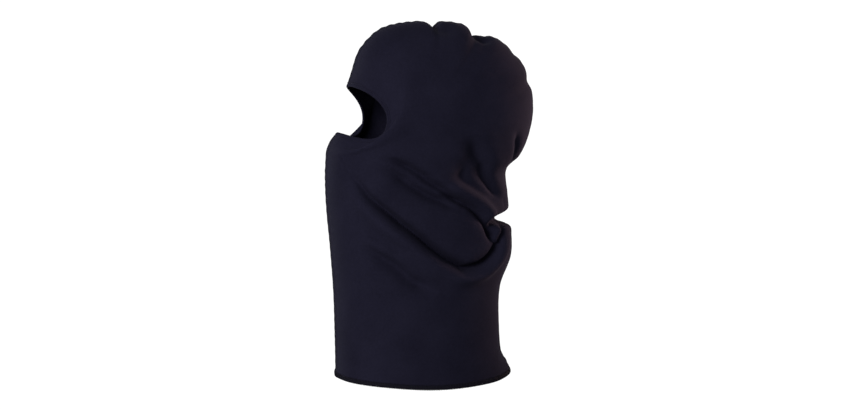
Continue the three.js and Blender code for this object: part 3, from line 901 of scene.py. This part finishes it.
def hem_loops(name, rows, material, pitch, radius):
    """The overlocked hem's slanting loops, wound round the edge as one long thread."""
    middle, outwards, square, total = resampled(edge_line(rows), EDGE_STATIONS)
    turns = round(total / pitch)
    count = turns * LOOP_STEPS
    place = np.arange(count) / count
    index = np.floor(place * EDGE_STATIONS).astype(int) % EDGE_STATIONS
    angle = place * turns * 2 * math.pi
    reach = (HEM_HEIGHT + GAP + LOOP_OVER) / 2
    centre = middle[index] + square[index] * (reach - LOOP_ONTO)
    line = (
        centre
        + square[index] * (reach * np.cos(angle))[:, None]
        + outwards[index] * (LOOP_STAND * np.sin(angle))[:, None]
    )
    step = unit(np.roll(line, -1, axis=0) - np.roll(line, 1, axis=0))
    up = unit(line - centre)
    aside = unit(np.cross(step, up))
    up = np.cross(aside, step)
    corner = circle_angles(THREAD_CORNERS)[:, None]
    ring = aside[:, None] * np.cos(corner) + up[:, None] * np.sin(corner)
    return ring_mesh(name, line[:, None] + radius * ring, material)


hem_threads = hem_loops("hem_threads", HEM_ROWS, THREAD, pitch=1.9, radius=0.42)

# The two long seams, each a flat band of stitches over the joint: columns of the cloth, stations
# to the millimetre, half the band's breadth, and the stitches' pitch, points and radius
THROAT_COLUMN = 0
CROWN_COLUMN = -1
SEAM_STATIONS = 2
SEAM_HALF = 2.1
SEAM_PITCH = 2.2
SEAM_POINTS = 5
SEAM_RADIUS = 0.24

# The seams' needle rows: share of the pitch before and along a stitch, lift and rise
NEEDLE_START = 0.12
NEEDLE_LENGTH = 0.76
NEEDLE_LIFT = 0.42
NEEDLE_RISE = 0.3

# The looper thread between them: share of the pitch that it crosses in, lift and rise
LOOPER_LENGTH = 0.5
LOOPER_LIFT = 0.3
LOOPER_RISE = 0.35


def seam_line(column):
    """The joint's line on the outside at equal steps, with its outward directions."""
    line = (cloths[1]["outside"][:, column] + cloths[-1]["outside"][:, column]) / 2
    line[:, 0] = 0
    steps = np.linalg.norm(np.diff(line, axis=0), axis=1)
    places = np.concatenate([[0], np.cumsum(steps)])
    wanted = np.linspace(0, places[-1], int(places[-1] * SEAM_STATIONS))
    line = np.stack([np.interp(wanted, places, line[:, k]) for k in range(3)], axis=1)
    step = np.gradient(line, axis=0)
    out = np.stack([0 * step[:, 0], -step[:, 2], step[:, 1]], axis=1)
    hand = 1 if column == THROAT_COLUMN else -1
    return line, unit(out) * hand, places[-1]


def seam_stitches(line, out, count, begin, length, lift, rise, start, end):
    """Equal stitches along a seam, each going from one place across it to another."""
    share = np.linspace(0, 1, SEAM_POINTS)
    places = (np.arange(count)[:, None] + begin + length * share[None]) / count
    index = np.round(places * (len(line) - 1)).astype(int)
    height = lift + rise * np.sin(share * math.pi)
    point = line[index] + out[index] * height[None, :, None]
    point[..., 0] += start + (end - start) * share[None]
    return point


def seam_cover(name, column, material):
    """Needle rows at both sides of a seam and the looper thread that crosses between them."""
    line, out, total = seam_line(column)
    count = int(total / SEAM_PITCH) - 1
    needle = (NEEDLE_START, NEEDLE_LENGTH, NEEDLE_LIFT, NEEDLE_RISE)
    lines = [seam_stitches(line, out, count, *needle, x, x) for x in (-SEAM_HALF, SEAM_HALF)]
    for begin, start in ((0, -SEAM_HALF), (LOOPER_LENGTH, SEAM_HALF)):
        looper = (begin, LOOPER_LENGTH, LOOPER_LIFT, LOOPER_RISE)
        lines.append(seam_stitches(line, out, count, *looper, start, -start))
    return threads_mesh(name, np.concatenate(lines), SEAM_RADIUS, material)


crown_stitches = seam_cover("crown_stitches", CROWN_COLUMN, THREAD)
throat_stitches = seam_cover("throat_stitches", THROAT_COLUMN, THREAD)

# What each piece rides on, its finish and what it stands for
for piece, node, slot in (
    (cloths[1]["piece"], "left_panel", "knit"),
    (cloths[-1]["piece"], "right_panel", "knit"),
    (face_edge, "face_binding", "binding"),
    (hem_edge, "hem_overlock", "thread"),
    (crown_stitches, "crown_seam", "thread"),
    (throat_stitches, "throat_seam", "thread"),
    (face_stitches, None, "thread"),
    (hem_threads, None, "thread"),
):
    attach(piece, "root")
    if node:
        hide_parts(node)

# The floor: its height in metres, radius, corners and look
FLOOR_Z = -1.25
FLOOR_RADIUS = 3600
FLOOR_CORNERS = 96
FLOOR_COLOURS = ((0.93, 0.93, 0.93), (0.97, 0.97, 0.97))
FLOOR_ROUGHNESS = 0.9


def pale_floor():
    """A wide round floor far below the hood."""
    material, tree, shader = new_material("pale_floor")
    place = tree.nodes.new("ShaderNodeTexCoord").outputs["Object"]
    colour = mix_colours(tree, noise_node(tree, place, *FLOOR_MOTTLE), FLOOR_COLOURS)
    tree.links.new(colour, shader.inputs["Base Color"])
    shader.inputs["Roughness"].default_value = FLOOR_ROUGHNESS
    angle = circle_angles(FLOOR_CORNERS)
    points = np.stack([np.cos(angle), np.sin(angle), 0 * angle], axis=1) * FLOOR_RADIUS
    made = mesh_object("floor", points, [list(range(FLOOR_CORNERS))], material)
    made.location.z = FLOOR_Z
    return made


pale_floor()

# The studio's white wall behind the view: its direction, the span of its soft edge and the
# strength of the light away from it and on it
BACKDROP_AZIMUTH = math.radians(255)
BACKDROP_ELEVATION = math.radians(-4)
BACKDROP_SPAN = (0.62, 0.92)
BACKDROP_STRENGTH = (0.31, 1.08)


def studio_world():
    """Dim white light from all sides and a bright wall behind the view."""
    world = bpy.data.worlds.new("studio")
    world.use_nodes = True
    tree = world.node_tree
    background = tree.nodes["Background"]
    background.inputs["Color"].default_value = (1, 1, 1, 1)
    facing = tree.nodes.new("ShaderNodeVectorMath")
    facing.operation = "DOT_PRODUCT"
    direction = tree.nodes.new("ShaderNodeTexCoord").outputs["Generated"]
    tree.links.new(direction, facing.inputs[0])
    facing.inputs[1].default_value = (
        math.sin(BACKDROP_AZIMUTH),
        -math.cos(BACKDROP_AZIMUTH),
        math.sin(BACKDROP_ELEVATION),
    )
    wall = range_node(tree, facing.outputs["Value"], BACKDROP_SPAN, BACKDROP_STRENGTH)
    wall.node.interpolation_type = "SMOOTHSTEP"
    tree.links.new(wall, background.inputs["Strength"])
    return world


bpy.context.scene.world = studio_world()

# The middle of the hood, which the camera faces, and the lights, in metres and degrees: azimuth,
# elevation, distance, size, watts, colour, the point that they face and spread
AIM = Vector((0, 0, -0.2046))
LIGHTS = {
    "key": (42, 14, 1.9, (1.0, 1.0), 4.8, (1.0, 0.985, 1.0), Vector((0, 0, -0.12)), 56),
    "side": (-55, 6, 1.6, (0.6, 1.2), 10, (0.93, 0.94, 1.0), AIM, 180),
    "rim": (193, 4, 1.3, (0.4, 0.4), 1.15, (1.0, 0.67, 0.62), Vector((0, 0.06, -0.12)), 26),
}


def towards(azimuth, elevation):
    """The direction of a place round the hood, from azimuth 0 in front of the face."""
    a = math.radians(azimuth)
    e = math.radians(elevation)
    return Vector((math.sin(a) * math.cos(e), -math.cos(a) * math.cos(e), math.sin(e)))


def softbox(name, azimuth, elevation, distance, size, watts, colour, aim, spread):
    """A rectangular light that faces a point."""
    light = bpy.data.lights.new(name, "AREA")
    light.shape = "RECTANGLE"
    light.size = size[0]
    light.size_y = size[1]
    light.energy = watts
    light.color = colour
    light.spread = math.radians(spread)
    made = bpy.data.objects.new(name, light)
    back = towards(azimuth, elevation)
    made.location = aim + back * distance
    made.rotation_euler = back.to_track_quat("Z", "Y").to_euler()
    bpy.context.scene.collection.objects.link(made)


for light_name, light_values in LIGHTS.items():
    softbox(light_name, *light_values)

# The camera's azimuth and elevation, its distance in metres, its lens and its sensor
CAMERA_AZIMUTH = 75
CAMERA_ELEVATION = 4
CAMERA_DISTANCE = 1.8
CAMERA_LENS = 67.15
CAMERA_SENSOR = 36

camera_data = bpy.data.cameras.new("camera")
camera_data.sensor_width = CAMERA_SENSOR
camera_data.lens = CAMERA_LENS
camera = bpy.data.objects.new("camera", camera_data)
camera_back = towards(CAMERA_AZIMUTH, CAMERA_ELEVATION)
camera.location = AIM + camera_back * CAMERA_DISTANCE
camera.rotation_euler = camera_back.to_track_quat("Z", "Y").to_euler()
bpy.context.scene.collection.objects.link(camera)
bpy.context.scene.camera = camera
bpy.context.scene.view_settings.view_transform = "Standard"
bpy.context.scene.view_settings.look = "None"
